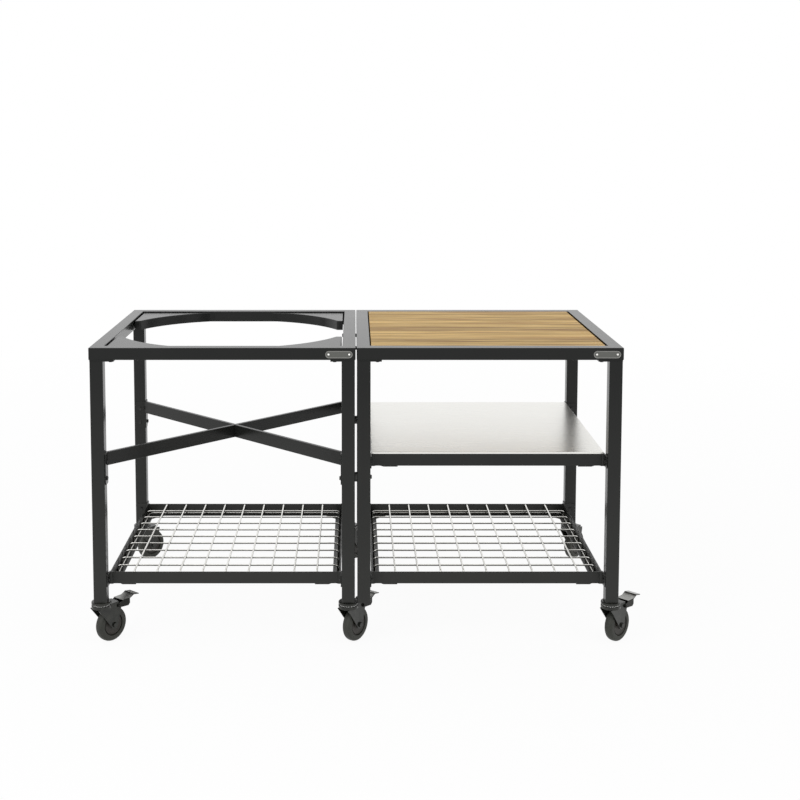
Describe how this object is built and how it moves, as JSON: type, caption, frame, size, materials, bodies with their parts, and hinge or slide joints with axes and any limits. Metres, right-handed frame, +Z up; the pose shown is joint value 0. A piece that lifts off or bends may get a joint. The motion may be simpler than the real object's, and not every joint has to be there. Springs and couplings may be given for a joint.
{
  "type": "kamado grill table",
  "caption": "Steel table on swivel casters with a round opening and crossed support for a ceramic grill, and a wooden worktop over a steel shelf and wire grids.",
  "frame": {"origin": "on the floor, in the middle of the space that the whole table takes up", "axes": "+X to the right along the table's length, +Y from the front to the back, +Z up"},
  "size_m": [1.62, 0.8224, 0.877],
  "materials": {
    "powder_coat": "satin black powder coat",
    "wire_steel": "bright plated wire",
    "plug_black": "black",
    "stainless_sheet": "brushed stainless",
    "acacia_wood": "oiled hardwood boards",
    "plate_metal": "bare satin plate",
    "bolt_steel": "black oxide",
    "zinc_steel": "dark plated steel",
    "pedal_steel": "dark plated steel",
    "caster_wheel": "dark moulded tread"
  },
  "bodies": {
    "table": {"caster_heads": "zinc_steel", "grill_front_left_leg": "powder_coat", "grill_front_right_leg": "powder_coat", "grill_rear_left_leg": "powder_coat", "grill_rear_right_leg": "powder_coat", "grill_shelf_frame": "powder_coat", "grill_top_frame": "powder_coat", "infill_plates": "powder_coat", "leg_plates": "powder_coat", "link_bolts": "bolt_steel", "link_spacers": "bolt_steel", "middle_shelf_frame": "powder_coat", "name_plates": "plate_metal", "shelf_bolts": "bolt_steel", "support_bar_left": "powder_coat", "support_bar_right": "powder_coat", "support_bolts": "bolt_steel", "support_brackets": "powder_coat", "threaded_plugs": "plug_black", "worktop_front_left_leg": "powder_coat", "worktop_front_right_leg": "powder_coat", "worktop_rear_left_leg": "powder_coat", "worktop_rear_right_leg": "powder_coat", "worktop_shelf_frame": "powder_coat", "worktop_top_frame": "powder_coat"},
    "worktop_insert": {"worktop_slats": "acacia_wood", "worktop_battens": "acacia_wood"},
    "stainless_shelf": {"shelf_panel": "stainless_sheet"},
    "grill_bay_grid": {"grill_shelf_grid": "wire_steel"},
    "worktop_bay_grid": {"worktop_shelf_grid": "wire_steel"},
    "front_left_swivel": {"front_left_caster_fork": "zinc_steel"},
    "front_left_wheel": {"front_left_caster_wheel": "caster_wheel"},
    "front_left_brake": {"front_left_caster_pedal": "pedal_steel"},
    "front_middle_swivel": {"front_middle_caster_fork": "zinc_steel"},
    "front_middle_wheel": {"front_middle_caster_wheel": "caster_wheel"},
    "front_middle_brake": {"front_middle_caster_pedal": "pedal_steel"},
    "front_right_swivel": {"front_right_caster_fork": "zinc_steel"},
    "front_right_wheel": {"front_right_caster_wheel": "caster_wheel"},
    "front_right_brake": {"front_right_caster_pedal": "pedal_steel"},
    "rear_left_swivel": {"rear_left_caster_fork": "zinc_steel"},
    "rear_left_wheel": {"rear_left_caster_wheel": "caster_wheel"},
    "rear_middle_swivel": {"rear_middle_caster_fork": "zinc_steel"},
    "rear_middle_wheel": {"rear_middle_caster_wheel": "caster_wheel"},
    "rear_right_swivel": {"rear_right_caster_fork": "zinc_steel"},
    "rear_right_wheel": {"rear_right_caster_wheel": "caster_wheel"}
  },
  "joints": [
    {"name": "worktop_lifts_out", "type": "slide", "parent": "table", "child": "worktop_insert", "axis": [0, 0, 1], "range_m": [0, 0.1]},
    {"name": "shelf_lifts_off", "type": "slide", "parent": "table", "child": "stainless_shelf", "axis": [0, 0, 1], "range_m": [0, 0.1]},
    {"name": "grill_bay_grid_lifts_out", "type": "slide", "parent": "table", "child": "grill_bay_grid", "axis": [0, 0, 1], "range_m": [0, 0.1]},
    {"name": "worktop_bay_grid_lifts_out", "type": "slide", "parent": "table", "child": "worktop_bay_grid", "axis": [0, 0, 1], "range_m": [0, 0.1]},
    {"name": "front_left_swivels", "type": "hinge", "parent": "table", "child": "front_left_swivel", "pos_m": [-0.77715, -0.37808, 0.117], "axis": [0, 0, 1], "continuous": true},
    {"name": "front_left_rolls", "type": "hinge", "parent": "front_left_swivel", "child": "front_left_wheel", "pos_m": [-0.75529, -0.35203, 0.05], "axis": [-0.766, 0.6428, 0], "continuous": true},
    {"name": "front_left_brake_pedal", "type": "hinge", "parent": "front_left_swivel", "child": "front_left_brake", "pos_m": [-0.74501, -0.33977, 0.104], "axis": [-0.766, 0.6428, 0], "range_deg": [0, 12]},
    {"name": "front_middle_swivels", "type": "hinge", "parent": "table", "child": "front_middle_swivel", "pos_m": [-0.05715, -0.37808, 0.117], "axis": [0, 0, 1], "continuous": true},
    {"name": "front_middle_rolls", "type": "hinge", "parent": "front_middle_swivel", "child": "front_middle_wheel", "pos_m": [-0.03669, -0.35092, 0.05], "axis": [-0.7986, 0.6018, 0], "continuous": true},
    {"name": "front_middle_brake_pedal", "type": "hinge", "parent": "front_middle_swivel", "child": "front_middle_brake", "pos_m": [-0.02706, -0.33815, 0.104], "axis": [-0.7986, 0.6018, 0], "range_deg": [0, 12]},
    {"name": "front_right_swivels", "type": "hinge", "parent": "table", "child": "front_right_swivel", "pos_m": [0.70785, -0.37808, 0.117], "axis": [0, 0, 1], "continuous": true},
    {"name": "front_right_rolls", "type": "hinge", "parent": "front_right_swivel", "child": "front_right_wheel", "pos_m": [0.73189, -0.35404, 0.05], "axis": [-0.7071, 0.7071, 0], "continuous": true},
    {"name": "front_right_brake_pedal", "type": "hinge", "parent": "front_right_swivel", "child": "front_right_brake", "pos_m": [0.74321, -0.34272, 0.104], "axis": [-0.7071, 0.7071, 0], "range_deg": [0, 12]},
    {"name": "rear_left_swivels", "type": "hinge", "parent": "table", "child": "rear_left_swivel", "pos_m": [-0.77715, 0.34192, 0.117], "axis": [0, 0, 1], "continuous": true},
    {"name": "rear_left_rolls", "type": "hinge", "parent": "rear_left_swivel", "child": "rear_left_wheel", "pos_m": [-0.75311, 0.36596, 0.05], "axis": [-0.7071, 0.7071, 0], "continuous": true},
    {"name": "rear_middle_swivels", "type": "hinge", "parent": "table", "child": "rear_middle_swivel", "pos_m": [-0.05715, 0.34192, 0.117], "axis": [0, 0, 1], "continuous": true},
    {"name": "rear_middle_rolls", "type": "hinge", "parent": "rear_middle_swivel", "child": "rear_middle_wheel", "pos_m": [-0.03529, 0.36797, 0.05], "axis": [-0.766, 0.6428, 0], "continuous": true},
    {"name": "rear_right_swivels", "type": "hinge", "parent": "table", "child": "rear_right_swivel", "pos_m": [0.70785, 0.34192, 0.117], "axis": [0, 0, 1], "continuous": true},
    {"name": "rear_right_rolls", "type": "hinge", "parent": "rear_right_swivel", "child": "rear_right_wheel", "pos_m": [0.72971, 0.36797, 0.05], "axis": [-0.766, 0.6428, 0], "continuous": true}
  ]
}
